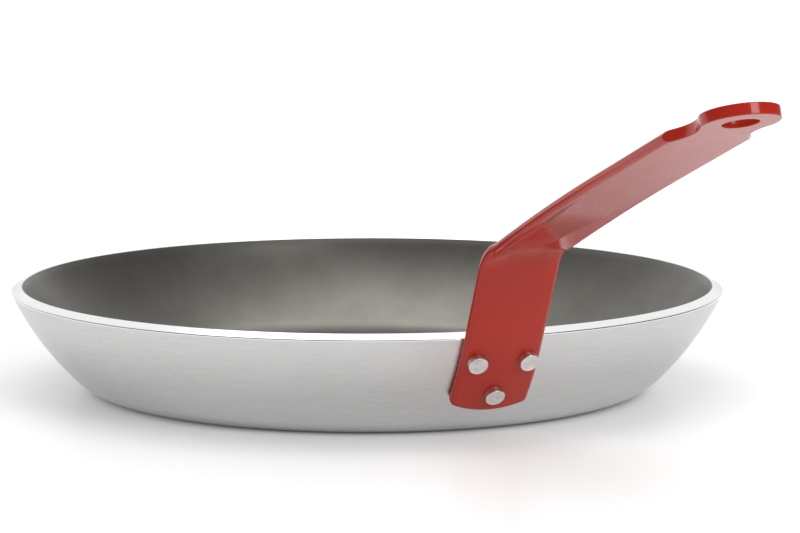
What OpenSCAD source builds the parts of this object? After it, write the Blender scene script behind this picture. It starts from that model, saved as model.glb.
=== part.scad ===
// Omelette pan: a pressed aluminium pan with a riveted handle of folded steel strap
// The origin is the centre of the base, on the surface that the pan stands on
// The handle points along +X and +Z is up

/* [Pan] */
// Outer diameter at the rim
rim_diameter = 280; // [240:1:320]
// Diameter of the flat underside
base_diameter = 201; // [170:1:210]
// Outer radius of the corner between base and wall
corner_radius = 22; // [12:1:30]
// Slope of the wall where the corner ends, in degrees
corner_angle = 44; // [38:1:48]
// Slope of the wall at the rim, in degrees
rim_angle = 64.6; // [60:0.2:70]
// Thickness of the base and the wall
wall_thickness = 4.7; // [3:0.1:6]
// Rounding of the two edges of the rim
rim_rounding = 0.6; // [0.3:0.1:1.2]
// Thickness of the non-stick layer inside the pan
coating_thickness = 0.3; // [0.2:0.05:0.5]

/* [Strap] */
// Width of the steel strap
strap_width = 30; // [27:0.5:32]
// Thickness of the steel strap, whose long edges are fully round
strap_thickness = 3.8; // [2.5:0.1:4]
// Length of strap that lies on the wall, measured down from the rim
foot_length = 31.5; // [28:0.5:33]
// Radius of the curved foot end
foot_end_radius = 34; // [25:1:60]
// Radius of the two corners of the foot end
foot_corner_radius = 2; // [1:0.5:4]
// Straight length between the rim and the bend
riser_length = 32; // [20:0.5:45]
// Inside radius of the bend
bend_radius = 17; // [12:1:24]
// Slope of the grip, in degrees
grip_angle = 19.5; // [10:0.1:30]
// Straight length of the grip, from the bend to the neck
grip_length = 147; // [130:1:170]
// Tilt of the head from the line of the grip, in degrees
head_tilt = 1; // [0.5:0.5:8]

/* [Folded edges] */
// Angle by which each long edge is folded down where it leaves the bend, in degrees
fold_angle = 24; // [10:1:32]
// Width of the folded edge where it leaves the bend
fold_width = 5.8; // [4:0.1:7]
// Length over which the folded edge runs out along the grip
fold_length = 88; // [70:1:110]

/* [Head] */
// Diameter of the rounded head
head_diameter = 25; // [22:0.5:28]
// Diameter of the hanging hole
hole_diameter = 11.5; // [8:0.5:14]
// Distance from the neck to the centre of the hanging hole
hole_distance = 21.5; // [20:0.5:24]
// Narrowest width of the neck
neck_width = 20.4; // [18:0.2:22]
// Radius of the scallops at the neck
scallop_radius = 18; // [14:1:20]

/* [Rivets] */
// Diameter of the rivet shanks
rivet_diameter = 5; // [4:0.1:6]
// Diameter of the flat outer heads
outer_head_diameter = 7.2; // [6.5:0.1:8]
// Height of the flat outer heads
outer_head_height = 2.7; // [1.5:0.1:4]
// Spacing of the two upper rivets
rivet_spacing = 18.9; // [15:0.1:20]
// Distance along the wall from the rim to the upper rivets
rivet_drop = 7.5; // [7:0.1:10]
// Distance along the wall from the upper rivets to the lower one
rivet_row_gap = 15; // [12:0.1:16]
// Diameter of the low domed heads inside the pan
inner_head_diameter = 11.5; // [10:0.1:14]
// Height of the low domed heads inside the pan
inner_head_height = 1.8; // [1:0.1:2.5]

/* [Fits] */
// Gap between the strap and the wall that it lies on
seat_gap = 0.1; // [0.05:0.01:0.2]
// Gap round each rivet shank
rivet_gap = 0.05; // [0.02:0.01:0.1]
// Gap between the rim of an inner rivet head and the non-stick layer
inner_head_gap = 0.05; // [0.03:0.01:0.1]
// Gap between an outer rivet head and the strap
outer_head_gap = 0.1; // [0.05:0.01:0.2]

/* [Hidden] */

// Small overlap that joins the parts of one solid
join = 0.5;
// Facets round the pan, round small circles and round the arcs of the wall profile
pan_facets = 180;
small_facets = 48;
profile_facets = 360;

// Wall profile in the plane of radius and height: the corner arc meets a second arc that ends at the rim
rim_radius = rim_diameter / 2;
base_radius = base_diameter / 2;
wall_radius = (rim_radius - base_radius - corner_radius * sin(corner_angle))
    / (sin(rim_angle) - sin(corner_angle));
corner_centre = [base_radius, corner_radius];
wall_centre = corner_centre + (wall_radius - corner_radius) * [-sin(corner_angle), cos(corner_angle)];
rim_end_angle = rim_angle - angle_of(rim_rounding, wall_radius);

// Strap line: it follows the outside of the pan up to the rim, and then a riser, the bend, the grip and the neck.
// A foot longer than the wall goes on round the corner below it
half_thickness = strap_thickness / 2;
strap_offset = seat_gap + half_thickness;
wall_arc = arc_length(wall_radius, rim_angle - corner_angle);
foot_on_corner = max(0, foot_length - wall_arc);
foot_place = wall_place(foot_length);
strap_start = [foot_place[0], foot_place[1]] + strap_offset * [sin(foot_place[2]), -cos(foot_place[2])];
corner_turn = angle_of(foot_on_corner, corner_radius);
corner_arc = arc_length(corner_radius + strap_offset, corner_turn);
foot_turn = angle_of(foot_length - foot_on_corner, wall_radius);
foot_arc = arc_length(wall_radius + strap_offset, foot_turn);
bend_turn = rim_angle - grip_angle;
bend_arc = arc_length(bend_radius + half_thickness, bend_turn);
neck_length = 10;
head_length = hole_distance + head_diameter / 2 + join;
strap_segments = [
    [corner_arc, corner_turn, foot_on_corner > 0 ? 8 : 0],
    [foot_arc, foot_turn, 8],
    [riser_length, 0, 5],
    [bend_arc, -bend_turn, 12],
    [fold_length, 0, 16],
    [grip_length - fold_length - neck_length, 0, 1],
    [neck_length, -head_tilt, 2],
    [head_length, 0, 1]
];
rim_station = corner_arc + foot_arc;
bend_station = rim_station + riser_length;
grip_station = bend_station + bend_arc;
fold_end_station = grip_station + fold_length;
head_start = strap_pose(len(strap_segments) - 1);

// Half width of the strap's flat middle, where its round edges begin, and the crease at both ends of the fold
edge_line = strap_width / 2 - half_thickness;
edge_margin = 0.05;
foot_trim = 0.05;
crease_start = strap_width / 2 - fold_width;
crease_end = edge_line - 2 * edge_margin;
crease_power = 4;
edge_steps = 8;
cut_depth = 4 * strap_thickness;

// Head outline: the scallops run nearly tangent into the round head, which they cut by a small bite
head_radius = head_diameter / 2;
scallop_bite = 0.1;
scallop_side = neck_width / 2 + scallop_radius;
scallop_span = scallop_radius + head_radius - scallop_bite;
scallop_reach = sqrt(pow(scallop_span, 2) - pow(scallop_side, 2));
scallop_centre = [hole_distance - scallop_reach, scallop_side];
shoulder = [hole_distance, 0] + [-scallop_reach, scallop_side] * (head_radius - scallop_bite) / scallop_span;

// Rivet places on the outside of the pan, and the turn of the upper pair about its axis
upper_place = wall_place(rivet_drop);
lower_place = wall_place(rivet_drop + rivet_row_gap);
upper_turn = asin(rivet_spacing / 2 / upper_place[0]);
rivet_bevel = 0.4;

colour_aluminium = [0.76, 0.76, 0.75];
colour_coating = [0.42, 0.41, 0.38];
colour_enamel = [0.67, 0.2, 0.17];
colour_rivet = [0.82, 0.8, 0.78];

// Length of an arc, and the angle that a length spans on an arc
function arc_length(radius, angle) = radius * angle * PI / 180;
function angle_of(length, radius) = length / radius * 180 / PI;

// Depth of a hollow of one radius under a straight edge that reaches out from its middle
function hollow_depth(radius, reach) = radius - sqrt(pow(radius, 2) - pow(reach, 2));

// Place at a slope on an arc, and at a distance down the outside of the pan, as [radius, height, slope, arc radius]
function arc_place(centre, radius, slope) =
    [centre[0] + radius * sin(slope), centre[1] - radius * cos(slope), slope, radius];
function wall_place(distance) = distance <= wall_arc
    ? arc_place(wall_centre, wall_radius, rim_angle - angle_of(distance, wall_radius))
    : arc_place(corner_centre, corner_radius, corner_angle - angle_of(distance - wall_arc, corner_radius));

// Pose [x, z, slope] after a stretch of strap that is straight or bends by an even turn
function moved(pose, length, turn) = turn == 0
    ? [pose[0] + length * cos(pose[2]), pose[1] + length * sin(pose[2]), pose[2]]
    : let (radius = length / (turn * PI / 180), slope = pose[2] + turn)
        [pose[0] + radius * (sin(slope) - sin(pose[2])), pose[1] + radius * (cos(pose[2]) - cos(slope)), slope];

// Pose and station at which a segment of the strap starts
function strap_pose(segment) = segment == 0
    ? [strap_start[0], strap_start[1], foot_place[2]]
    : moved(strap_pose(segment - 1), strap_segments[segment - 1][0], strap_segments[segment - 1][1]);
function strap_station(segment) = segment == 0 ? 0 : strap_station(segment - 1) + strap_segments[segment - 1][0];

// Share from 0 to 1 of the way between two stations
function share(station, from, to) = min(1, max(0, (station - from) / (to - from)));

// Fold of the strap's edges, place of the crease, and hollow of the back that follows the round wall
function fold_at(station) = fold_angle * share(station, bend_station, grip_station)
    * (1 - share(station, grip_station, fold_end_station));
function crease_at(station) = crease_start
    + (crease_end - crease_start) * pow(share(station, grip_station, fold_end_station), crease_power);
function hollow_at(station, pose) = (1 - share(station, rim_station, bend_station))
    * sin(pose[2]) / (2 * min(pose[0], rim_radius));

// Right half of the strap's section as [side, height] points, from the underside round the edge to the top
function half_section(crease, fold) = let (
    along = [cos(fold), -sin(fold)],
    up = [sin(fold), cos(fold)],
    edge = [crease, 0] + (edge_line - crease) * along,
    miter = half_thickness * tan(fold / 2)
) concat(
    [[crease / 2, -half_thickness], [crease - miter, -half_thickness]],
    [for (i = [0 : edge_steps])
        let (a = -90 + 180 * i / edge_steps) edge + half_thickness * (cos(a) * along + sin(a) * up)],
    [[crease + miter, half_thickness], [crease / 2, half_thickness]]
);

// Whole section, mirrored about the middle of the strap
function whole_section(half) = concat(
    [[0, -half_thickness]],
    half,
    [[0, half_thickness]],
    [for (i = [len(half) - 1 : -1 : 0]) [-half[i][0], half[i][1]]]
);

// Ring of points round the strap at one station
function strap_ring(station, pose) = let (hollow = hollow_at(station, pose))
    [for (p = whole_section(half_section(crease_at(station), fold_at(station))))
        let (height = p[1] + hollow * p[0] * p[0])
            [pose[0] - sin(pose[2]) * height, p[0], pose[1] + cos(pose[2]) * height]];

// Rings at even steps along every segment, and one at the end of the strap
strap_rings = concat(
    [for (k = [0 : len(strap_segments) - 1])
        let (length = strap_segments[k][0], turn = strap_segments[k][1], steps = strap_segments[k][2])
            for (i = [0 : 1 : steps - 1])
                strap_ring(strap_station(k) + length * i / steps,
                    moved(strap_pose(k), length * i / steps, turn * i / steps))],
    [strap_ring(strap_station(len(strap_segments)), strap_pose(len(strap_segments)))]
);

// Flat ring between two radii about a centre
module flat_ring(centre, outer, inner) {
    translate(centre) difference() {
        circle(r = outer, $fn = profile_facets);
        circle(r = inner, $fn = profile_facets);
    }
}

// Sector between two slope angles about the centre of the wall arc
module slope_sector(from, to) {
    reach = 2 * wall_radius;
    polygon([
        wall_centre,
        wall_centre + reach * [sin(from), -cos(from)],
        wall_centre + reach * [sin(to), -cos(to)]
    ]);
}

// Half section of a shell between two depths below the pan's outer surface
module shell_profile(outer_depth, inner_depth, end_angle) {
    translate([0, outer_depth]) square([base_radius, inner_depth - outer_depth]);
    intersection() {
        flat_ring(corner_centre, corner_radius - outer_depth, corner_radius - inner_depth);
        slope_sector(0, corner_angle);
        translate([base_radius, 0]) square(corner_radius);
    }
    intersection() {
        flat_ring(wall_centre, wall_radius - outer_depth, wall_radius - inner_depth);
        slope_sector(corner_angle, end_angle);
    }
}

// Square-cut rim with two rounded edges
module rim_profile() {
    intersection() {
        flat_ring(wall_centre, wall_radius - rim_rounding, wall_radius - wall_thickness + rim_rounding);
        slope_sector(corner_angle, rim_angle);
    }
    for (depth = [rim_rounding, wall_thickness - rim_rounding]) {
        place = arc_place(wall_centre, wall_radius - depth, rim_end_angle);
        translate([place[0], place[1]]) circle(r = rim_rounding, $fn = small_facets);
    }
}

// Places its children with +Z along the outward normal of the wall and the origin on the outer surface
module on_wall(place, turn) {
    rotate([0, 0, turn]) translate([place[0], 0, place[1]]) rotate([0, 180 - place[2], 0]) children();
}

// Holes for the rivet shanks
module rivet_holes() {
    for (rivet = [[upper_place, -upper_turn], [upper_place, upper_turn], [lower_place, 0]])
        on_wall(rivet[0], rivet[1]) translate([0, 0, -2 * wall_thickness])
            cylinder(d = rivet_diameter + 2 * rivet_gap, h = 4 * wall_thickness, $fn = small_facets);
}

// Pan pressed from one aluminium disc, open at the top
module pan_body() {
    color(colour_aluminium) difference() {
        rotate_extrude($fn = pan_facets) {
            shell_profile(0, wall_thickness, rim_end_angle);
            rim_profile();
        }
        rivet_holes();
    }
}

// Non-stick layer on the whole inside of the pan
module nonstick_coating() {
    color(colour_coating) difference() {
        rotate_extrude($fn = pan_facets)
            shell_profile(wall_thickness, wall_thickness + coating_thickness, rim_end_angle);
        rivet_holes();
    }
}

// Middle of the section at one end of the strap
function ring_middle(ring) = (ring[0] + ring[len(ring) / 2]) / 2;

// Strap swept along its line, with round edges, folded sides and a back hollowed to the wall
module strap_sweep() {
    count = len(strap_rings[0]);
    last = len(strap_rings) - 1;
    foot_middle = count * (last + 1);
    head_middle = foot_middle + 1;
    polyhedron(
        points = [for (ring = strap_rings) each ring, ring_middle(strap_rings[0]), ring_middle(strap_rings[last])],
        faces = [for (j = [0 : count - 1]) let (next = (j + 1) % count) each [
            [foot_middle, j, next],
            [head_middle, last * count + next, last * count + j],
            for (i = [0 : last - 1])
                [i * count + j, (i + 1) * count + j, (i + 1) * count + next, i * count + next]
        ]]
    );
}

// Places its children in the frame of the head: X along the handle and Z across its thickness
module on_head() {
    translate([head_start[0], 0, head_start[1]]) rotate([0, -head_start[2], 0]) children();
}

// Cuts the end of the strap to the scallops, the round head and its hanging hole
module head_cut() {
    on_head() linear_extrude(height = cut_depth, center = true) {
        difference() {
            translate([scallop_centre[0], -strap_width]) square([head_length, 2 * strap_width]);
            translate([hole_distance, 0]) circle(r = head_radius, $fn = 4 * small_facets);
            polygon([
                [scallop_centre[0], -scallop_side],
                [shoulder[0], -shoulder[1]],
                shoulder,
                [scallop_centre[0], scallop_side]
            ]);
        }
        for (side = [-1, 1])
            translate([scallop_centre[0], side * scallop_side]) circle(r = scallop_radius, $fn = 4 * small_facets);
        translate([hole_distance, 0]) circle(d = hole_diameter, $fn = 2 * small_facets);
    }
}

// What stays of the strap at the foot: a curved end with two rounded corners, a hair inside the swept end
module foot_outline() {
    side = strap_width / 2 + edge_margin;
    corner_side = side - foot_corner_radius;
    corner_reach = sqrt(pow(foot_end_radius - foot_corner_radius, 2) - pow(corner_side, 2));
    translate([foot_end_radius + foot_trim, 0]) {
        intersection() {
            circle(r = foot_end_radius, $fn = 8 * small_facets);
            polygon([[0, 0], 2 * [-corner_reach, corner_side], 2 * [-corner_reach, -corner_side]]);
        }
        for (turn = [-1, 1])
            translate([-corner_reach, turn * corner_side]) circle(r = foot_corner_radius, $fn = small_facets);
        translate([-corner_reach, -side]) square([corner_reach, 2 * side]);
    }
}

// Cuts the foot end of the strap to its outline
module foot_cut() {
    foot = strap_pose(0);
    translate([foot[0], 0, foot[1]]) rotate([0, -foot[2], 0])
        linear_extrude(height = cut_depth, center = true) difference() {
            translate([-join, -strap_width]) square([foot_end_radius / 2, 2 * strap_width]);
            foot_outline();
        }
}

// Handle of one steel strap with its riveted foot, bend, folded grip, scalloped neck and drilled head
module handle() {
    color(colour_enamel) difference() {
        strap_sweep();
        foot_cut();
        rivet_holes();
        head_cut();
    }
}

// Solid rivet: low domed head inside the pan, shank, and a flat bevelled head on the strap.
// The flat back of the inner head bridges the hollow of the wall, and its rim touches first
module rivet(place) {
    layers = wall_thickness + coating_thickness;
    hollow_radius = min(place[3], place[0] / sin(place[2])) - layers;
    inner_face = -layers - inner_head_gap - hollow_depth(hollow_radius, inner_head_diameter / 2);
    outer_face = seat_gap + strap_thickness + outer_head_gap;
    dome_radius = (pow(inner_head_diameter / 2, 2) + pow(inner_head_height, 2)) / (2 * inner_head_height);
    color(colour_rivet) rotate_extrude($fn = small_facets) {
        intersection() {
            translate([0, inner_face - inner_head_height + dome_radius])
                circle(r = dome_radius, $fn = profile_facets);
            translate([0, inner_face - inner_head_height]) square([inner_head_diameter, inner_head_height]);
        }
        translate([0, inner_face - join]) square([rivet_diameter / 2, outer_face - inner_face + 2 * join]);
        translate([0, outer_face]) polygon([
            [0, 0],
            [outer_head_diameter / 2, 0],
            [outer_head_diameter / 2, outer_head_height - rivet_bevel],
            [outer_head_diameter / 2 - rivet_bevel, outer_head_height],
            [0, outer_head_height]
        ]);
    }
}

module rivet_left() { on_wall(upper_place, -upper_turn) rivet(upper_place); }

module rivet_right() { on_wall(upper_place, upper_turn) rivet(upper_place); }

module rivet_lower() { on_wall(lower_place, 0) rivet(lower_place); }

pan_body();
nonstick_coating();
handle();
rivet_left();
rivet_right();
rivet_lower();
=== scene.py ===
"""Looks of an omelette pan: brushed aluminium shell, non-stick inside and a red strap handle on three rivets.

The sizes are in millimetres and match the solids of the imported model. A mesh is shaped in millimetres and
becomes a piece in metres, in the model's own frame.
"""

from __future__ import annotations

import logging
import math
from dataclasses import dataclass
from enum import Enum
from typing import Any

import bmesh
import bpy
from mathutils import Matrix, Vector

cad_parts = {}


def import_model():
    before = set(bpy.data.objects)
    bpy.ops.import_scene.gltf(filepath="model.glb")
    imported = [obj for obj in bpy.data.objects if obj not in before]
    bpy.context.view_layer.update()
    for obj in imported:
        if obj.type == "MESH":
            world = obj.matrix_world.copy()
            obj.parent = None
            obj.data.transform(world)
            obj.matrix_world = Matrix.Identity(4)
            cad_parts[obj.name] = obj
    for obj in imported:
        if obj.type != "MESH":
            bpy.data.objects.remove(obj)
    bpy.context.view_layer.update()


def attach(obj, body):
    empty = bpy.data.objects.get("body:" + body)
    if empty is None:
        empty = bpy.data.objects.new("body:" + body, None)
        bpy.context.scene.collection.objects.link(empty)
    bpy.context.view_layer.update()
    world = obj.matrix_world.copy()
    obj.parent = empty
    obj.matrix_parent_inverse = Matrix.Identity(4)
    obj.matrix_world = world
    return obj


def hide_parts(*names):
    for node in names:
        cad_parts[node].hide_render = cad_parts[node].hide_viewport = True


LOG = logging.getLogger("omelette_pan")
MM = 0.001
BODY = "root"

Colour = tuple[float, float, float, float]


class Part(Enum):
    """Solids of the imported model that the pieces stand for."""

    PAN_BODY = "pan_body"
    COATING = "nonstick_coating"
    HANDLE = "handle"
    RIVET_LEFT = "rivet_left"
    RIVET_RIGHT = "rivet_right"
    RIVET_LOWER = "rivet_lower"


class Slot(Enum):
    """Material slots of the record."""

    ALUMINIUM = "aluminium"
    COATING = "coating"
    ENAMEL = "enamel"
    RIVET = "rivet"


class Wire:
    """One socket of a shader, on which Python's operators add Math nodes."""

    def __init__(self, shader: Shader, socket: bpy.types.NodeSocket) -> None:
        """Keeps the socket and the shader that it belongs to.

        Args:
            shader: Shader that gets the new nodes.
            socket: Output socket of one of its nodes.
        """
        self.shader = shader
        self.socket = socket

    def maths(self, operation: str, *values: Wire | float) -> Wire:
        """Adds one Math node.

        Args:
            operation: Name of the operation.
            values: Values of the node's sockets, in order.

        Returns:
            The node's result.
        """
        return self.shader.add("ShaderNodeMath", {"operation": operation}, dict(enumerate(values)))

    def __add__(self, other: Wire | float) -> Wire:
        """Returns the sum."""
        return self.maths("ADD", self, other)

    def __sub__(self, other: Wire | float) -> Wire:
        """Returns the difference."""
        return self.maths("SUBTRACT", self, other)

    def __rsub__(self, other: float) -> Wire:
        """Returns the difference from a number."""
        return self.maths("SUBTRACT", other, self)

    def __mul__(self, other: Wire | float) -> Wire:
        """Returns the product."""
        return self.maths("MULTIPLY", self, other)

    def __truediv__(self, other: Wire | float) -> Wire:
        """Returns the quotient."""
        return self.maths("DIVIDE", self, other)

    def __pow__(self, other: float) -> Wire:
        """Returns the power."""
        return self.maths("POWER", self, other)

    __radd__ = __add__
    __rmul__ = __mul__

    def spread(self, low: float, high: float) -> Wire:
        """Stretches the part between two levels to the range from 0 to 1, with smooth ends.

        Args:
            low: Level that becomes 0.
            high: Level that becomes 1.

        Returns:
            The stretched value.
        """
        return self.shader.add(
            "ShaderNodeMapRange", {"interpolation_type": "SMOOTHSTEP"}, {0: self, 1: low, 2: high}
        )


class Shader:
    """Node tree of one material, or of the world, which is built node by node."""

    def __init__(self, owner: bpy.types.Material | bpy.types.World) -> None:
        """Starts with no nodes.

        Args:
            owner: Material or world that the nodes belong to.
        """
        self.owner = owner
        owner.use_nodes = True
        self.tree = owner.node_tree
        self.tree.nodes.clear()

    def add(
        self,
        kind: str,
        settings: dict[str, Any] | None = None,
        sockets: dict[int | str, Any] | None = None,
        output: int | str = 0,
    ) -> Wire:
        """Adds one node.

        Args:
            kind: Type of the node.
            settings: Its settings, which are set first.
            sockets: Values or links of its sockets, by name or number.
            output: Name or number of the output that is wanted.

        Returns:
            That output.
        """
        node = self.tree.nodes.new(kind)
        for name, value in (settings or {}).items():
            setattr(node, name, value)
        for key, value in (sockets or {}).items():
            if isinstance(value, Wire):
                self.tree.links.new(value.socket, node.inputs[key])
            else:
                node.inputs[key].default_value = value
        return Wire(self, node.outputs[output])

    def place(self) -> Wire:
        """Returns the place on the piece, in metres."""
        return self.add("ShaderNodeTexCoord", output="Object")

    def split(self, vector: Wire) -> tuple[Wire, Wire, Wire]:
        """Splits a vector.

        Args:
            vector: The vector.

        Returns:
            Its three parts.
        """
        first = self.add("ShaderNodeSeparateXYZ", sockets={0: vector})
        outputs = first.socket.node.outputs
        return first, Wire(self, outputs[1]), Wire(self, outputs[2])

    def join(self, x: Wire | float, y: Wire | float, z: Wire | float) -> Wire:
        """Returns a vector of three parts."""
        return self.add("ShaderNodeCombineXYZ", sockets={0: x, 1: y, 2: z})

    def mix(self, share: Wire | float, first: Wire | Colour, second: Wire | Colour) -> Wire:
        """Mixes two colours.

        Args:
            share: Share of the second colour.
            first: First colour.
            second: Second colour.

        Returns:
            The mixed colour.
        """
        return self.add("ShaderNodeMix", {"data_type": "RGBA"}, {0: share, 6: first, 7: second}, 2)

    def noise(self, vector: Wire, scale: float, detail: float = 2.0, rough: float = 0.5) -> Wire:
        """Adds a soft noise.

        Args:
            vector: Place at which it is read.
            scale: Spots per unit of the place.
            detail: Octaves of finer noise.
            rough: Strength of the finer octaves.

        Returns:
            The noise, about 0.5 on average.
        """
        sockets = {"Vector": vector, "Scale": scale, "Detail": detail, "Roughness": rough}
        return self.add("ShaderNodeTexNoise", sockets=sockets)

    def bump(self, height: Wire, depth: float) -> Wire:
        """Turns a height from 0 to 1 into a bumpy normal.

        Args:
            height: The height.
            depth: Depth that a height of 1 stands for, in metres.

        Returns:
            The normal.
        """
        return self.add("ShaderNodeBump", sockets={"Height": height, "Distance": depth, "Strength": 1.0})

    def seen(self) -> Wire:
        """Returns 1 for what the camera sees straight or in a reflection, and 0 for light on the object."""
        camera = self.add("ShaderNodeLightPath", output="Is Camera Ray")
        glossy = Wire(self, camera.socket.node.outputs["Is Glossy Ray"])
        return camera.maths("MAXIMUM", camera, glossy)

    def finish(self, surface: Wire, kind: str = "ShaderNodeOutputMaterial") -> None:
        """Links the surface to the output.

        Args:
            surface: Shader of the surface.
            kind: Type of the output node.
        """
        output = self.tree.nodes.new(kind)
        self.tree.links.new(surface.socket, output.inputs["Surface"])


@dataclass(frozen=True)
class Finish:
    """A surface finish, which becomes one material."""

    name: str = "plain"

    def material(self) -> bpy.types.Material:
        """Returns the finish as a material."""
        shader = Shader(bpy.data.materials.new(self.name))
        shader.finish(self.surface(shader))
        return shader.owner

    def surface(self, shader: Shader) -> Wire:
        """Builds the surface.

        Args:
            shader: Shader that gets the nodes.

        Returns:
            The surface.
        """
        return shader.add("ShaderNodeBsdfPrincipled")


@dataclass(frozen=True)
class BrushedAluminium(Finish):
    """Aluminium that was brushed while the pan turned, so its lines run round the pan."""

    name: str = "brushed_aluminium"
    light: Colour = (0.69, 0.69, 0.69, 1.0)
    dark: Colour = (0.59, 0.587, 0.58, 1.0)
    roughness: float = 0.26
    anisotropy: float = 0.7
    line_pitch: float = 0.0005
    fine_pitch: float = 0.00014
    line_depth: float = 0.000005

    def surface(self, shader: Shader) -> Wire:
        """Builds lines of even tone that run round the pan, over broad faint clouds.

        Args:
            shader: Shader that gets the nodes.

        Returns:
            The surface.
        """
        x, y, z = shader.split(shader.place())
        radius = (x * x + y * y) ** 0.5
        across = radius + z
        cosine, sine = x / radius, y / radius
        lines = shader.noise(shader.join(cosine * 7, sine * 7, across / self.line_pitch), 1.0, 1.0)
        fine = shader.noise(shader.join(cosine * 13, sine * 13, across / self.fine_pitch), 1.0, 2.0)
        cloud = shader.noise(shader.join(cosine * 3, sine * 3, across * 60), 1.0, 2.0)
        streaks = lines.spread(0.2, 0.8) * 0.4 + fine.spread(0.2, 0.8) * 0.3 + cloud * 0.3
        return shader.add(
            "ShaderNodeBsdfPrincipled",
            sockets={
                "Base Color": shader.mix(streaks, self.dark, self.light),
                "Metallic": 1.0,
                "Roughness": streaks * -0.08 + (self.roughness + 0.04),
                "Anisotropic": self.anisotropy,
                "Normal": shader.bump(lines * 0.5 + fine * 0.5, self.line_depth),
            },
        )


@dataclass(frozen=True)
class PolishedRim(Finish):
    """Bright turned edge of the rim."""

    name: str = "polished_rim"
    light: Colour = (0.88, 0.88, 0.88, 1.0)
    dark: Colour = (0.78, 0.78, 0.78, 1.0)
    roughness: float = 0.14
    line_depth: float = 0.000004

    def surface(self, shader: Shader) -> Wire:
        """Builds a bright surface with faint turning lines.

        Args:
            shader: Shader that gets the nodes.

        Returns:
            The surface.
        """
        x, y, z = shader.split(shader.place())
        radius = (x * x + y * y) ** 0.5
        lines = shader.noise(shader.join(x / radius * 5, y / radius * 5, (radius - z) * 3500), 1.0, 1.0)
        return shader.add(
            "ShaderNodeBsdfPrincipled",
            sockets={
                "Base Color": shader.mix(lines.spread(0.15, 0.6), self.dark, self.light),
                "Metallic": 1.0,
                "Roughness": lines * 0.1 + self.roughness,
                "Normal": shader.bump(lines, self.line_depth),
            },
        )


@dataclass(frozen=True)
class NonStickCoating(Finish):
    """Warm grey non-stick layer with metal flakes: satin, finely grained and faintly cloudy."""

    name: str = "nonstick_coating"
    base: Colour = (0.18, 0.173, 0.155, 1.0)
    cloudy: Colour = (0.205, 0.197, 0.177, 1.0)
    fleck: Colour = (0.45, 0.43, 0.4, 1.0)
    metal: float = 0.85
    roughness: float = 0.3
    fleck_pitch: float = 0.0005
    grain_depth: float = 0.00002

    def surface(self, shader: Shader) -> Wire:
        """Builds a grained surface with small bright flecks.

        Args:
            shader: Shader that gets the nodes.

        Returns:
            The surface.
        """
        place = shader.place()
        cloud = shader.noise(place, 55.0, 3.0, 0.55)
        grain = shader.noise(place, 2600.0, 2.0, 0.6)
        cells = {"Vector": place, "Scale": 1 / self.fleck_pitch, "Randomness": 1.0}
        distance = shader.add("ShaderNodeTexVoronoi", sockets=cells)
        chance = shader.noise(place, 900.0, 1.0)
        flecks = (1 - distance.spread(0.12, 0.3)) * chance.spread(0.52, 0.64)
        colour = shader.mix(cloud.spread(0.3, 0.7), self.base, self.cloudy)
        return shader.add(
            "ShaderNodeBsdfPrincipled",
            sockets={
                "Base Color": shader.mix(flecks * 0.5, colour, self.fleck),
                "Metallic": flecks * 0.2 + self.metal,
                "Roughness": self.roughness + grain * 0.1 + flecks * -0.1,
                "IOR": 1.45,
                "Normal": shader.bump(grain, self.grain_depth),
            },
        )


@dataclass(frozen=True)
class GlossEnamel(Finish):
    """Thick gloss red enamel with a slightly uneven surface."""

    name: str = "gloss_enamel"
    base: Colour = (0.48, 0.026, 0.011, 1.0)
    deep: Colour = (0.44, 0.021, 0.009, 1.0)
    roughness: float = 0.1
    peel_pitch: float = 0.0022
    peel_depth: float = 0.000006

    def surface(self, shader: Shader) -> Wire:
        """Builds a glossy surface with a slight orange peel and fine specks.

        Args:
            shader: Shader that gets the nodes.

        Returns:
            The surface.
        """
        place = shader.place()
        cloud = shader.noise(place, 45.0, 2.0)
        peel = shader.noise(place, 1 / self.peel_pitch, 1.0)
        specks = shader.noise(place, 1500.0, 2.0)
        return shader.add(
            "ShaderNodeBsdfPrincipled",
            sockets={
                "Base Color": shader.mix(cloud.spread(0.3, 0.7), self.base, self.deep),
                "Roughness": self.roughness + specks * 0.04 + cloud * 0.03,
                "IOR": 1.42,
                "Normal": shader.bump(peel * 0.9 + specks * 0.1, self.peel_depth),
            },
        )


@dataclass(frozen=True)
class SatinRivet(Finish):
    """Satin aluminium of the rivets, with a fine grain."""

    name: str = "satin_rivet"
    light: Colour = (0.7, 0.68, 0.665, 1.0)
    dark: Colour = (0.59, 0.565, 0.545, 1.0)
    roughness: float = 0.3
    grain_depth: float = 0.000012

    def surface(self, shader: Shader) -> Wire:
        """Builds a finely grained surface with faint patches.

        Args:
            shader: Shader that gets the nodes.

        Returns:
            The surface.
        """
        place = shader.place()
        grain = shader.noise(place, 2400.0, 2.0, 0.6)
        patches = shader.noise(place, 420.0, 2.0)
        return shader.add(
            "ShaderNodeBsdfPrincipled",
            sockets={
                "Base Color": shader.mix(patches.spread(0.25, 0.6), self.dark, self.light),
                "Metallic": 1.0,
                "Roughness": self.roughness + grain * 0.14,
                "Normal": shader.bump(grain * 0.6 + patches * 0.4, self.grain_depth),
            },
        )


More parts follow.
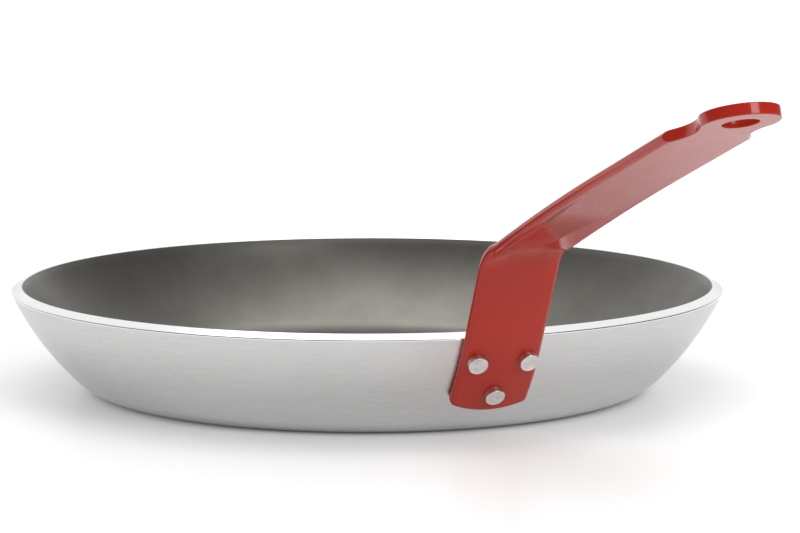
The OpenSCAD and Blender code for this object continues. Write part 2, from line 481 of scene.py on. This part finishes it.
@dataclass(frozen=True)
class StudioFloor(Finish):
    """White floor with a painted glow seen by the camera and in reflections: no glow where it meets the pan, so the
    lamps' soft shadows stay dark there, and more glow farther out, so the floor runs out into the white background.
    """

    name: str = "studio_floor"
    white: float = 0.8
    lift: float = 0.42
    near_share: float = 0.55
    contact: tuple[float, float] = (0.1, 0.115)
    run_out: tuple[float, float] = (0.12, 0.4)
    far_lift: float = 0.3
    horizon: tuple[float, float] = (0.9, 3.0)
    roughness: float = 0.35

    def surface(self, shader: Shader) -> Wire:
        """Builds a pale surface with a painted glow for what is seen of it, which is none at the pan's foot and
        grows to plain white away from the object.

        Args:
            shader: Shader that gets the nodes.

        Returns:
            The surface.
        """
        x, y, _ = shader.split(shader.place())
        radius = (x * x + y * y) ** 0.5
        # painted light: a glow that is none where the floor meets the pan and grows farther out, so it sets how
        # bright the floor reads round the pan's soft shadow
        near = radius.spread(*self.contact) * self.near_share + radius.spread(*self.run_out) * (1 - self.near_share)
        far = self.lift + self.far_lift
        away = near * (self.lift / far) + radius.spread(*self.horizon) * (self.far_lift / far)
        glow = (far, far, far, 1.0)
        return shader.add(
            "ShaderNodeBsdfPrincipled",
            sockets={
                "Base Color": (self.white, self.white, self.white, 1.0),
                "Roughness": self.roughness,
                "Specular IOR Level": 0.2,
                "Emission Color": shader.mix(shader.seen() * away, (0.0, 0.0, 0.0, 1.0), glow),
                "Emission Strength": 1.0,
            },
        )


@dataclass(frozen=True)
class Room(Finish):
    """Light of the room: even on the object, and seen as white behind and above it and darker in front of it."""

    name: str = "studio"
    level: float = 0.6
    white: float = 1.0
    dim: float = 0.12
    front: tuple[float, float] = (0.936, -0.352)
    dim_end: float = 0.3
    white_start: float = 0.75
    side_fade: tuple[float, float] = (0.35, 0.85)
    left_share: float = 0.3

    def world(self) -> bpy.types.World:
        """Returns the room as a world."""
        shader = Shader(bpy.data.worlds.new(self.name))
        shader.finish(self.surface(shader), "ShaderNodeOutputWorld")
        return shader.owner

    def surface(self, shader: Shader) -> Wire:
        """Builds the room's light by direction.

        Args:
            shader: Shader that gets the nodes.

        Returns:
            The light.
        """
        x, y, z = shader.split(shader.add("ShaderNodeTexCoord", output="Generated"))
        towards = x * self.front[0] + y * self.front[1]
        right = y * self.front[0] - x * self.front[1]
        closed = right.spread(*self.side_fade) + (right * -1).spread(*self.side_fade) * self.left_share
        open_side = (z * 0.8 - towards * 0.6).spread(self.dim_end, self.white_start) * (1 - closed)
        view = shader.add("ShaderNodeLightPath", output="Is Camera Ray")
        shown = view.maths("MAXIMUM", view, open_side) * (self.white - self.dim) + self.dim
        seen = shader.seen()
        strength = seen * shown + (1 - seen) * self.level
        white = (1.0, 1.0, 1.0, 1.0)
        return shader.add("ShaderNodeBackground", sockets={"Color": white, "Strength": strength})


class Pen:
    """Draws a wire in a plane, one straight line or arc after another."""

    def __init__(self, mesh: bmesh.types.BMesh, start: Vector, axis: Vector) -> None:
        """Puts the pen down.

        Args:
            mesh: Mesh that gets the wire.
            start: First point.
            axis: Axis about which a positive arc turns.
        """
        self.mesh = mesh
        self.axis = axis
        self.first = bmesh.ops.create_vert(mesh, co=start)["vert"][0]
        self.tip = self.first
        self.before = set(mesh.edges)

    def line(self, end: Vector) -> None:
        """Draws a straight line to a point."""
        self.tip = bmesh.ops.extrude_vert_indiv(self.mesh, verts=[self.tip])["verts"][0]
        self.tip.co = end

    def arc(self, centre: Vector, angle: float, steps: int) -> None:
        """Draws an arc.

        Args:
            centre: Centre of the arc.
            angle: Angle through which it turns, in degrees.
            steps: Straight pieces of the arc.
        """
        turned = bmesh.ops.spin(
            self.mesh,
            geom=[self.tip],
            cent=centre,
            axis=self.axis,
            angle=math.radians(angle),
            steps=steps,
            use_merge=False,
        )
        self.tip = [item for item in turned["geom_last"] if isinstance(item, bmesh.types.BMVert)][0]

    def close(self) -> None:
        """Welds the last point to the first and fills the outline with one face."""
        bmesh.ops.weld_verts(self.mesh, targetmap={self.tip: self.first})
        drawn = [edge for edge in self.mesh.edges if edge not in self.before]
        bmesh.ops.contextual_create(self.mesh, geom=drawn)


def turn_section(mesh: bmesh.types.BMesh, steps: int) -> None:
    """Turns a half section about the Z axis into a closed shell.

    Args:
        mesh: Mesh that holds the section.
        steps: Faces round the axis.
    """
    bmesh.ops.spin(
        mesh,
        geom=mesh.verts[:] + mesh.edges[:],
        cent=(0, 0, 0),
        axis=(0, 0, 1),
        angle=2 * math.pi,
        steps=steps,
        use_merge=True,
    )
    bmesh.ops.remove_doubles(mesh, verts=mesh.verts, dist=0.001)
    bmesh.ops.recalc_face_normals(mesh, faces=mesh.faces)


@dataclass
class Piece:
    """A finished mesh with its material and its place in the model."""

    name: str
    mesh: bmesh.types.BMesh
    materials: list[bpy.types.Material]
    slot: Slot
    replaces: tuple[Part, ...]

    def finish(self) -> bpy.types.Object:
        """Makes the object, in metres, and ties it to the model.

        Returns:
            The finished object.
        """
        bmesh.ops.scale(self.mesh, vec=(MM, MM, MM), verts=self.mesh.verts)
        for face in self.mesh.faces:
            face.smooth = True
        data = bpy.data.meshes.new(self.name)
        self.mesh.to_mesh(data)
        self.mesh.free()
        for material in self.materials:
            data.materials.append(material)
        piece = bpy.data.objects.new(self.name, data)
        bpy.context.scene.collection.objects.link(piece)
        normals = piece.modifiers.new("even_normals", "WEIGHTED_NORMAL")
        normals.keep_sharp = True
        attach(piece, BODY)
        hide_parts(*(part.value for part in self.replaces))
        LOG.info("%s: %d faces", self.name, len(data.polygons))
        return piece


@dataclass(frozen=True)
class WallPlace:
    """A place on the pan's outer surface, in the plane of radius and height."""

    radius: float
    height: float
    slope: float
    curve: float

    def frame(self, turn: float) -> Matrix:
        """Returns the frame there, with Z along the outward normal.

        Args:
            turn: Angle about the pan's axis, in degrees.

        Returns:
            The frame.
        """
        about = Matrix.Rotation(math.radians(turn), 4, "Z")
        tilt = Matrix.Rotation(math.radians(180 - self.slope), 4, "Y")
        return about @ Matrix.Translation((self.radius, 0, self.height)) @ tilt


@dataclass(frozen=True)
class WallProfile:
    """Profile of the pan's wall: a corner arc and a wide arc that ends at the rim."""

    rim_radius: float = 140.0
    base_radius: float = 100.5
    corner_radius: float = 22.0
    corner_angle: float = 44.0
    rim_angle: float = 64.6
    thickness: float = 4.7
    coating: float = 0.3
    rim_rounding: float = 0.6

    @property
    def wall_radius(self) -> float:
        """Radius of the wide arc."""
        corner, rim = math.radians(self.corner_angle), math.radians(self.rim_angle)
        reach = self.rim_radius - self.base_radius - self.corner_radius * math.sin(corner)
        return reach / (math.sin(rim) - math.sin(corner))

    @property
    def corner_centre(self) -> Vector:
        """Centre of the corner arc."""
        return Vector((self.base_radius, 0, self.corner_radius))

    @property
    def wall_centre(self) -> Vector:
        """Centre of the wide arc."""
        corner = math.radians(self.corner_angle)
        inward = Vector((-math.sin(corner), 0, math.cos(corner)))
        return self.corner_centre + (self.wall_radius - self.corner_radius) * inward

    @property
    def rim_end(self) -> float:
        """Slope at which the rim's rounding starts, in degrees."""
        return self.rim_angle - math.degrees(self.rim_rounding / self.wall_radius)

    def point(self, slope: float, depth: float) -> Vector:
        """Gives a point of the wide arc.

        Args:
            slope: Slope of the wall there, in degrees.
            depth: Depth below the outer surface.

        Returns:
            The point, with its radius as X.
        """
        angle = math.radians(slope)
        return self.wall_centre + (self.wall_radius - depth) * Vector((math.sin(angle), 0, -math.cos(angle)))

    def wall_place(self, distance: float) -> WallPlace:
        """Gives the place at a distance down the wall from the rim.

        Args:
            distance: Distance along the outer surface.

        Returns:
            The place.
        """
        slope = self.rim_angle - math.degrees(distance / self.wall_radius)
        point = self.point(slope, 0)
        return WallPlace(point.x, point.z, slope, self.wall_radius)


@dataclass(frozen=True)
class PanShell:
    """The pressed pan with its polished rim, and the non-stick layer inside it."""

    profile: WallProfile = WallProfile()
    body_finish: BrushedAluminium = BrushedAluminium()
    rim_finish: PolishedRim = PolishedRim()
    coating_finish: NonStickCoating = NonStickCoating()
    steps_round: int = 288
    corner_steps: int = 10
    wall_steps: int = 12
    flat_margin: float = 1.0

    def build(self) -> None:
        """Builds both pieces."""
        self._body().finish()
        self._coating().finish()

    def _start(self, mesh: bmesh.types.BMesh, depth: float) -> Pen:
        """Starts a half section on the axis and draws it out to the end of the flat base.

        Args:
            mesh: Mesh that gets the section.
            depth: Depth below the outer surface.

        Returns:
            The pen, at the start of the corner.
        """
        pen = Pen(mesh, Vector((0, 0, depth)), Vector((0, -1, 0)))
        for radius in (self.profile.base_radius / 2, self.profile.base_radius - self.flat_margin):
            pen.line(Vector((radius, 0, depth)))
        pen.line(Vector((self.profile.base_radius, 0, depth)))
        return pen

    def _up(self, pen: Pen, end: float) -> None:
        """Draws the corner and the wall up to a slope."""
        corner = self.profile.corner_angle
        pen.arc(self.profile.corner_centre, corner, self.corner_steps)
        pen.arc(self.profile.wall_centre, end - corner, self.wall_steps)

    def _down(self, pen: Pen, end: float, depth: float) -> None:
        """Draws the wall and the corner down from a slope, and the base back to the axis."""
        corner = self.profile.corner_angle
        pen.arc(self.profile.wall_centre, corner - end, self.wall_steps)
        pen.arc(self.profile.corner_centre, -corner, self.corner_steps)
        for radius in (self.profile.base_radius - self.flat_margin, self.profile.base_radius / 2, 0):
            pen.line(Vector((radius, 0, depth)))

    def _body(self) -> Piece:
        """Builds the pan of one thick disc, with two small roundings at its square-cut rim."""
        profile = self.profile
        mesh = bmesh.new()
        pen = self._start(mesh, 0)
        self._up(pen, profile.rim_end)
        pen.arc(profile.point(profile.rim_end, profile.rim_rounding), 90, 5)
        inner_centre = profile.point(profile.rim_end, profile.thickness - profile.rim_rounding)
        angle = math.radians(profile.rim_end)
        forward = Vector((math.cos(angle), 0, math.sin(angle)))
        pen.line(inner_centre + profile.rim_rounding * forward)
        pen.arc(inner_centre, 90, 5)
        self._down(pen, profile.rim_end, profile.thickness)
        turn_section(mesh, self.steps_round)
        limit = profile.rim_end - 0.02
        for face in mesh.faces:
            middle = face.calc_center_median()
            reach = Vector((math.hypot(middle.x, middle.y), 0, middle.z)) - profile.wall_centre
            face.material_index = int(math.degrees(math.atan2(reach.x, -reach.z)) > limit)
        finishes = [self.body_finish.material(), self.rim_finish.material()]
        return Piece("pan_shell", mesh, finishes, Slot.ALUMINIUM, (Part.PAN_BODY,))

    def _coating(self) -> Piece:
        """Builds the thin layer that lines the inside up to the rim."""
        profile = self.profile
        mesh = bmesh.new()
        pen = self._start(mesh, profile.thickness)
        self._up(pen, profile.rim_end)
        pen.line(profile.point(profile.rim_end, profile.thickness + profile.coating))
        self._down(pen, profile.rim_end, profile.thickness + profile.coating)
        turn_section(mesh, self.steps_round)
        return Piece("coating_layer", mesh, [self.coating_finish.material()], Slot.COATING, (Part.COATING,))


@dataclass(frozen=True)
class Pose:
    """A place on the strap's middle line, in the plane of the handle, with its slope in degrees."""

    x: float
    z: float
    slope: float

    def moved(self, length: float, turn: float) -> Pose:
        """Follows the strap for a stretch that is straight or bends evenly.

        Args:
            length: Length of the stretch.
            turn: Angle through which it bends, in degrees.

        Returns:
            The pose at its end.
        """
        start, end = math.radians(self.slope), math.radians(self.slope + turn)
        if abs(turn) < 1e-9:
            return Pose(self.x + length * math.cos(start), self.z + length * math.sin(start), self.slope)
        radius = length / (end - start)
        return Pose(
            self.x + radius * (math.sin(end) - math.sin(start)),
            self.z + radius * (math.cos(start) - math.cos(end)),
            self.slope + turn,
        )


@dataclass(frozen=True)
class Stretch:
    """One stretch of the strap, with the number of slices across it."""

    length: float
    turn: float
    slices: int


@dataclass(frozen=True)
class StrapHandle:
    """Handle of one steel strap: a flat blank with its holes, which is then folded and bent to shape."""

    wall: WallProfile = WallProfile()
    finish: GlossEnamel = GlossEnamel()
    width: float = 30.0
    thickness: float = 3.8
    foot_length: float = 31.5
    foot_end_radius: float = 34.0
    foot_corner_radius: float = 2.0
    foot_trim: float = 0.05
    riser_length: float = 32.0
    bend_radius: float = 17.0
    grip_angle: float = 19.5
    grip_length: float = 147.0
    neck_length: float = 10.0
    head_tilt: float = 1.0
    fold_angle: float = 19.0
    fold_width: float = 8.8
    fold_length: float = 88.0
    crease_power: float = 1.0
    crease_band: float = 0.3
    head_diameter: float = 25.0
    hole_diameter: float = 11.5
    hole_distance: float = 21.5
    neck_width: float = 20.4
    scallop_radius: float = 18.0
    scallop_bite: float = 0.1
    rivet_hole_diameter: float = 5.5
    rivet_side: float = 9.56
    rivet_spacing: float = 18.9
    rivet_drop: float = 7.5
    rivet_row_gap: float = 15.0
    seat_gap: float = 0.1
    edge_bevel: float = 0.35
    edge_slices: int = 7
    outline_angle: float = 1.2
    level_limit: float = 0.01

    @property
    def half_thickness(self) -> float:
        """Half of the strap's thickness."""
        return self.thickness / 2

    @property
    def offset(self) -> float:
        """Distance of the strap's middle from the wall."""
        return self.seat_gap + self.half_thickness

    @property
    def side(self) -> float:
        """Half of the strap's width."""
        return self.width / 2

    @property
    def edge_line(self) -> float:
        """Half width at which the round edges begin."""
        return self.side - self.half_thickness

    @property
    def head_reach(self) -> float:
        """Length of the head from the neck to its tip."""
        return self.hole_distance + self.head_diameter / 2

    @property
    def stretches(self) -> tuple[Stretch, ...]:
        """All stretches of the strap, from the foot to the head."""
        foot_turn = math.degrees(self.foot_length / self.wall.wall_radius)
        bend_turn = self.wall.rim_angle - self.grip_angle
        return (
            Stretch(math.radians(foot_turn) * (self.wall.wall_radius + self.offset), foot_turn, 16),
            Stretch(self.riser_length, 0.0, 9),
            Stretch(math.radians(bend_turn) * (self.bend_radius + self.half_thickness), -bend_turn, 24),
            Stretch(self.fold_length, 0.0, 40),
            Stretch(self.grip_length - self.fold_length - self.neck_length, 0.0, 6),
            Stretch(self.neck_length, -self.head_tilt, 3),
            Stretch(self.head_reach, 0.0, 1),
        )

    @property
    def foot_pose(self) -> Pose:
        """Pose at the end of the foot."""
        place = self.wall.wall_place(self.foot_length)
        slope = math.radians(place.slope)
        return Pose(
            place.radius + self.offset * math.sin(slope),
            place.height - self.offset * math.cos(slope),
            place.slope,
        )

    def station(self, stretch: int) -> float:
        """Returns the length of strap before a stretch."""
        return sum(item.length for item in self.stretches[:stretch])

    def pose(self, station: float) -> Pose:
        """Follows the strap to a station.

        Args:
            station: Length of strap from the foot.

        Returns:
            The pose there.
        """
        pose, left = self.foot_pose, station
        for item in self.stretches:
            if left <= item.length:
                return pose.moved(left, item.turn * left / item.length)
            pose = pose.moved(item.length, item.turn)
            left -= item.length
        return pose.moved(left, 0.0)

    def share(self, station: float, start: int, end: int) -> float:
        """Returns the share from 0 to 1 of the way from the start of one stretch to that of another."""
        low, high = self.station(start), self.station(end)
        return min(1.0, max(0.0, (station - low) / (high - low)))

    def build(self) -> None:
        """Builds the handle."""
        mesh = bmesh.new()
        self._blank(mesh)
        self._thicken(mesh)
        self._slice(mesh)
        self._round_edges(mesh)
        self._form(mesh)
        bmesh.ops.recalc_face_normals(mesh, faces=mesh.faces)
        Piece("strap_handle", mesh, [self.finish.material()], Slot.ENAMEL, (Part.HANDLE,)).finish()

    def _row(self, pen: Pen, station: float, sides: tuple[float, ...], hole: float, ahead: float) -> None:
        """Draws along a line across the blank, and half round each hole on it.

        Args:
            pen: Pen at one end of the line.
            station: Station of the line.
            sides: Middles of its holes, across the strap.
            hole: Radius of the holes.
            ahead: 1 to go towards the left edge, or -1 to go back towards the right edge.
        """
        for side in sorted(sides, key=lambda item: item * ahead):
            pen.line(Vector((station, side - hole * ahead, 0)))
            pen.arc(Vector((station, side, 0)), -180, 24)

    def _blank(self, mesh: bmesh.types.BMesh) -> None:
        """Draws the flat blank in four faces that meet across the holes: X runs along the strap and Y across it."""
        up = Vector((0, 0, 1))
        foot_scale = (self.wall.wall_radius + self.offset) / self.wall.wall_radius
        upper = self.station(1) - self.rivet_drop * foot_scale
        lower = upper - self.rivet_row_gap * foot_scale
        rivet, eye = self.rivet_hole_diameter / 2, self.hole_diameter / 2
        pair = (-self.rivet_side, self.rivet_side)
        head, neck = self.station(6) + self.hole_distance, self.station(6)
        radius = self.head_diameter / 2

        corner_side = self.side - self.foot_corner_radius
        span = self.foot_end_radius - self.foot_corner_radius
        spread = math.degrees(math.asin(corner_side / span))
        centre = self.foot_end_radius + self.foot_trim
        corner = centre - span * math.cos(math.radians(spread))
        pen = Pen(mesh, Vector((lower, self.side, 0)), up)
        pen.line(Vector((corner, self.side, 0)))
        pen.arc(Vector((corner, corner_side, 0)), 90 - spread, 8)
        pen.arc(Vector((centre, 0, 0)), 2 * spread, 28)
        pen.arc(Vector((corner, -corner_side, 0)), 90 - spread, 8)
        pen.line(Vector((lower, -self.side, 0)))
        self._row(pen, lower, (0.0,), rivet, 1)
        pen.line(Vector((lower, self.side, 0)))
        pen.close()

        pen = Pen(mesh, Vector((lower, self.side, 0)), up)
        self._row(pen, lower, (0.0,), rivet, -1)
        pen.line(Vector((lower, -self.side, 0)))
        pen.line(Vector((upper, -self.side, 0)))
        self._row(pen, upper, pair, rivet, 1)
        pen.line(Vector((upper, self.side, 0)))
        pen.line(Vector((lower, self.side, 0)))
        pen.close()

        scallop_side = self.neck_width / 2 + self.scallop_radius
        scallop_span = self.scallop_radius + radius - self.scallop_bite
        reach = math.sqrt(scallop_span**2 - scallop_side**2)
        middle = neck + self.hole_distance - reach
        run_in = math.sqrt(self.scallop_radius**2 - (scallop_side - self.side) ** 2)
        along = (scallop_span**2 + radius**2 - self.scallop_radius**2) / (2 * scallop_span)
        meet = math.degrees(math.atan2(scallop_side, -reach) - math.acos(along / radius))
        meet_point = Vector((math.cos(math.radians(meet)), math.sin(math.radians(meet)), 0)) * radius
        from_scallop = Vector((head, 0, 0)) + meet_point - Vector((middle, scallop_side, 0))
        start_angle = math.degrees(math.atan2(self.side - scallop_side, -run_in)) + 360
        sweep = math.degrees(math.atan2(from_scallop.y, from_scallop.x)) + 360 - start_angle
        pen = Pen(mesh, Vector((upper, self.side, 0)), up)
        self._row(pen, upper, pair, rivet, -1)
        pen.line(Vector((upper, -self.side, 0)))
        pen.line(Vector((middle - run_in, -self.side, 0)))
        pen.arc(Vector((middle, -scallop_side, 0)), -sweep, 20)
        pen.arc(Vector((head, 0, 0)), meet - 90, 3)
        self._row(pen, head, (0.0,), eye, 1)
        pen.line(Vector((head, radius, 0)))
        pen.arc(Vector((head, 0, 0)), meet - 90, 3)
        pen.arc(Vector((middle, scallop_side, 0)), -sweep, 20)
        pen.line(Vector((upper, self.side, 0)))
        pen.close()

        pen = Pen(mesh, Vector((head, radius, 0)), up)
        self._row(pen, head, (0.0,), eye, -1)
        pen.line(Vector((head, -radius, 0)))
        pen.arc(Vector((head, 0, 0)), 180, 36)
        pen.close()
        bmesh.ops.remove_doubles(mesh, verts=mesh.verts, dist=0.01)

    def _thicken(self, mesh: bmesh.types.BMesh) -> None:
        """Gives the blank its thickness and breaks the edges of its outline and holes."""
        bmesh.ops.recalc_face_normals(mesh, faces=mesh.faces)
        bmesh.ops.solidify(mesh, geom=mesh.faces[:], thickness=self.thickness)
        low = min(vert.co.z for vert in mesh.verts)
        bmesh.ops.translate(mesh, vec=(0, 0, -low - self.half_thickness), verts=mesh.verts)
        bmesh.ops.recalc_face_normals(mesh, faces=mesh.faces)
        outline = [
            edge
            for edge in mesh.edges
            if edge.is_manifold
            and edge.calc_face_angle() > self.outline_angle
            and abs(edge.verts[0].co.z - edge.verts[1].co.z) < self.level_limit
        ]
        bmesh.ops.bevel(
            mesh,
            geom=outline,
            offset=self.edge_bevel,
            offset_type="OFFSET",
            affect="EDGES",
            segments=3,
            profile=0.5,
            material=-1,
            clamp_overlap=True,
        )

    def _cut(self, mesh: bmesh.types.BMesh, place: Vector, normal: Vector) -> None:
        """Slices every face that a plane crosses, without parting the mesh."""
        bmesh.ops.bisect_plane(
            mesh,
            geom=mesh.verts[:] + mesh.edges[:] + mesh.faces[:],
            dist=0.0005,
            plane_co=place,
            plane_no=normal,
        )

    def _slice(self, mesh: bmesh.types.BMesh) -> None:
        """Slices the blank across at every station and along at every line on which it folds or rounds."""
        band = self.crease_band
        crease = self.side - self.fold_width
        lines = [0.0, crease / 3, crease * 2 / 3]
        lines += [crease + band * step / 3 for step in range(-3, 4)]
        lines += [(crease + band + self.edge_line) / 2]
        lines += [
            self.edge_line + self.half_thickness * math.sin(math.pi / 2 * step / self.edge_slices)
            for step in range(self.edge_slices)
        ]
        for line in lines:
            for side in {line, -line}:
                self._cut(mesh, Vector((0, side, 0)), Vector((0, 1, 0)))
        for number, item in enumerate(self.stretches):
            for step in range(item.slices):
                place = self.station(number) + item.length * step / item.slices
                if place > 0:
                    self._cut(mesh, Vector((place, 0, 0)), Vector((1, 0, 0)))

    def _round_edges(self, mesh: bmesh.types.BMesh) -> None:
        """Thins the strap to fully round long edges."""
        for vert in mesh.verts:
            beyond = abs(vert.co.y) - self.edge_line
            if beyond > 0:
                share = min(1.0, beyond / self.half_thickness)
                vert.co.z *= math.sqrt(1 - share * share)
        bmesh.ops.remove_doubles(mesh, verts=mesh.verts, dist=0.005)

    def _crease(self, station: float) -> float:
        """Returns the distance of the crease from the middle of the strap."""
        start, end = self.side - self.fold_width, self.edge_line - 0.1
        run_out = self.share(station, 3, 4) ** self.crease_power
        run_back = self.share(station, 4, 5)
        return start + (end - start) * run_out * (1 - run_back)

    def _folded(self, station: float, side: float, height: float) -> tuple[float, float]:
        """Folds the edge of the strap down along its crease.

        Args:
            station: Length of strap from the foot.
            side: Distance from the middle of the flat strap, never negative.
            height: Height above the middle of its thickness.

        Returns:
            Distance and height after the fold.
        """
        flat_crease, crease = self.side - self.fold_width, self._crease(station)
        band = min(self.crease_band, 0.45 * (self.edge_line - crease))
        knots = (0.0, flat_crease - self.crease_band, flat_crease + self.crease_band, self.edge_line, self.width)
        moved = (0.0, crease - band, crease + band, self.edge_line, self.width)
        for low in range(len(knots) - 1):
            if side <= knots[low + 1]:
                share = (side - knots[low]) / (knots[low + 1] - knots[low])
                side = moved[low] + share * (moved[low + 1] - moved[low])
                break
        fold = math.radians(self.fold_angle) * self.share(station, 2, 3) * (1 - self.share(station, 3, 4))
        start = crease - band
        if side <= start or fold < 1e-6:
            return side, height
        radius = 2 * band / fold
        bent = min(side - start, 2 * band)
        angle = bent / radius
        rest = side - start - bent
        middle = start + radius * math.sin(angle) + rest * math.cos(angle)
        drop = radius * (1 - math.cos(angle)) + rest * math.sin(angle)
        return middle + height * math.sin(angle), height * math.cos(angle) - drop

    def _form(self, mesh: bmesh.types.BMesh) -> None:
        """Folds the edges, hollows the foot to the wall and bends the strap to its line."""
        for vert in mesh.verts:
            station, side, height = vert.co
            pose = self.pose(station)
            reach, lift = self._folded(station, abs(side), height)
            slope = math.radians(pose.slope)
            hollow = (1 - self.share(station, 1, 2)) * math.sin(slope) / (2 * min(pose.x, self.wall.rim_radius))
            lift += hollow * reach * reach
            place = (
                pose.x - math.sin(slope) * lift,
                math.copysign(reach, side),
                pose.z + math.cos(slope) * lift,
            )
            vert.co = place


@dataclass(frozen=True)
class RivetSize:
    """Sizes of one rivet."""

    shank_radius: float = 2.5
    head_radius: float = 3.6
    head_height: float = 2.7
    head_bevel: float = 0.4
    under_bevel: float = 0.15
    face_ring: float = 0.5
    face_slope: float = 0.12
    face_step: float = 0.4
    face_dip: float = 0.08
    dome_radius: float = 5.75
    dome_height: float = 1.8
    strap_thickness: float = 3.8
    seat_gap: float = 0.1
    outer_gap: float = 0.1
    inner_gap: float = 0.05


@dataclass(frozen=True)
class Rivet:
    """Solid rivet through the wall and the strap: low dome inside the pan, and a flat head outside."""

    name: str
    part: Part
    drop: float
    turn: float
    finish: SatinRivet
    wall: WallProfile = WallProfile()
    size: RivetSize = RivetSize()
    steps_round: int = 64

    def build(self) -> None:
        """Turns the rivet from its half section and puts it on the wall."""
        size, place = self.size, self.wall.wall_place(self.drop)
        layers = self.wall.thickness + self.wall.coating
        hollow = min(place.curve, place.radius / math.sin(math.radians(place.slope))) - layers
        inner = -layers - size.inner_gap - (hollow - math.sqrt(hollow**2 - size.dome_radius**2))
        outer = size.seat_gap + size.strap_thickness + size.outer_gap
        dome = (size.dome_radius**2 + size.dome_height**2) / (2 * size.dome_height)
        top = outer + size.head_height
        ring = size.head_radius - size.head_bevel - size.face_ring
        mesh = bmesh.new()
        pen = Pen(mesh, Vector((0, 0, inner - size.dome_height)), Vector((0, -1, 0)))
        pen.arc(
            Vector((0, 0, inner - size.dome_height + dome)), math.degrees(math.asin(size.dome_radius / dome)), 14
        )
        pen.line(Vector((size.shank_radius, 0, inner)))
        pen.line(Vector((size.shank_radius, 0, outer)))
        under = size.head_radius - size.under_bevel
        pen.line(Vector((under, 0, outer)))
        pen.arc(Vector((under, 0, outer + size.under_bevel)), 90, 3)
        pen.line(Vector((size.head_radius, 0, top - size.head_bevel)))
        pen.arc(Vector((size.head_radius - size.head_bevel, 0, top - size.head_bevel)), 90, 5)
        pen.line(Vector((ring + size.face_slope, 0, top)))
        pen.line(Vector((ring, 0, top - size.face_dip)))
        pen.line(Vector((ring - size.face_step, 0, top - size.face_dip)))
        pen.line(Vector((0, 0, top - size.face_dip)))
        turn_section(mesh, self.steps_round)
        bmesh.ops.transform(mesh, matrix=place.frame(self.turn), verts=mesh.verts)
        Piece(self.name, mesh, [self.finish.material()], Slot.RIVET, (self.part,)).finish()


@dataclass(frozen=True)
class SoftBox:
    """A square lamp that looks at a point."""

    name: str
    place: tuple[float, float, float]
    aim: tuple[float, float, float]
    size: float
    level: float

    def build(self) -> None:
        """Adds the lamp, whose surface is as bright as its level times white."""
        light = bpy.data.lights.new(self.name, "AREA")
        light.shape = "SQUARE"
        light.size = self.size
        light.energy = self.level * math.pi * self.size**2
        lamp = bpy.data.objects.new(self.name, light)
        lamp.location = self.place
        direction = Vector(self.aim) - Vector(self.place)
        lamp.rotation_euler = direction.to_track_quat("-Z", "Y").to_euler()
        bpy.context.scene.collection.objects.link(lamp)


@dataclass(frozen=True)
class Studio:
    """White floor, soft light all round and the camera."""

    floor_finish: StudioFloor = StudioFloor()
    room: Room = Room()
    floor_radius: float = 12.0
    lamps: tuple[SoftBox, ...] = (
        SoftBox("overhead_lamp", (-0.1, -0.1, 1.9), (0.0, 0.0, 0.0), 1.8, 1.3),
        SoftBox("front_lamp", (1.65, 0.46, 0.91), (0.1, 0.0, 0.08), 0.7, 6.0),
    )
    camera_place: tuple[float, float, float] = (1.20282, -0.43846, 0.22069)
    camera_forward: tuple[float, float, float] = (-0.927566, 0.348722, -0.134219)
    camera_right: tuple[float, float, float] = (0.35191, 0.936034, -0.000026)
    lens: float = 147.31

    def build(self) -> None:
        """Builds the studio."""
        self._floor()
        bpy.context.scene.world = self.room.world()
        for lamp in self.lamps:
            lamp.build()
        self._camera()
        bpy.context.scene.view_settings.view_transform = "Standard"

    def _floor(self) -> None:
        """Lays the floor."""
        mesh = bmesh.new()
        bmesh.ops.create_circle(mesh, cap_ends=True, radius=self.floor_radius, segments=96)
        data = bpy.data.meshes.new("floor")
        mesh.to_mesh(data)
        mesh.free()
        data.materials.append(self.floor_finish.material())
        floor = bpy.data.objects.new("floor", data)
        bpy.context.scene.collection.objects.link(floor)

    def _camera(self) -> None:
        """Puts the camera where the photograph was taken from."""
        camera = bpy.data.cameras.new("camera")
        camera.sensor_width = 36.0
        camera.lens = self.lens
        camera.clip_end = 100.0
        right, forward = Vector(self.camera_right), Vector(self.camera_forward)
        up = right.cross(forward)
        turn = Matrix((right, up, -forward)).transposed().to_4x4()
        viewer = bpy.data.objects.new("camera", camera)
        viewer.matrix_world = Matrix.Translation(self.camera_place) @ turn
        bpy.context.scene.collection.objects.link(viewer)
        bpy.context.scene.camera = viewer


def main() -> None:
    """Builds the pan, its handle and rivets, and the studio round them."""
    logging.basicConfig(level=logging.INFO, format="%(message)s")
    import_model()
    Studio().build()
    PanShell().build()
    handle = StrapHandle()
    handle.build()
    upper = handle.wall.wall_place(handle.rivet_drop)
    turn = math.degrees(math.asin(handle.rivet_spacing / 2 / upper.radius))
    satin = SatinRivet()
    lower = handle.rivet_drop + handle.rivet_row_gap
    Rivet("rivet_left_piece", Part.RIVET_LEFT, handle.rivet_drop, -turn, satin).build()
    Rivet("rivet_right_piece", Part.RIVET_RIGHT, handle.rivet_drop, turn, satin).build()
    Rivet("rivet_lower_piece", Part.RIVET_LOWER, lower, 0.0, satin).build()


if __name__ == "__main__":
    main()
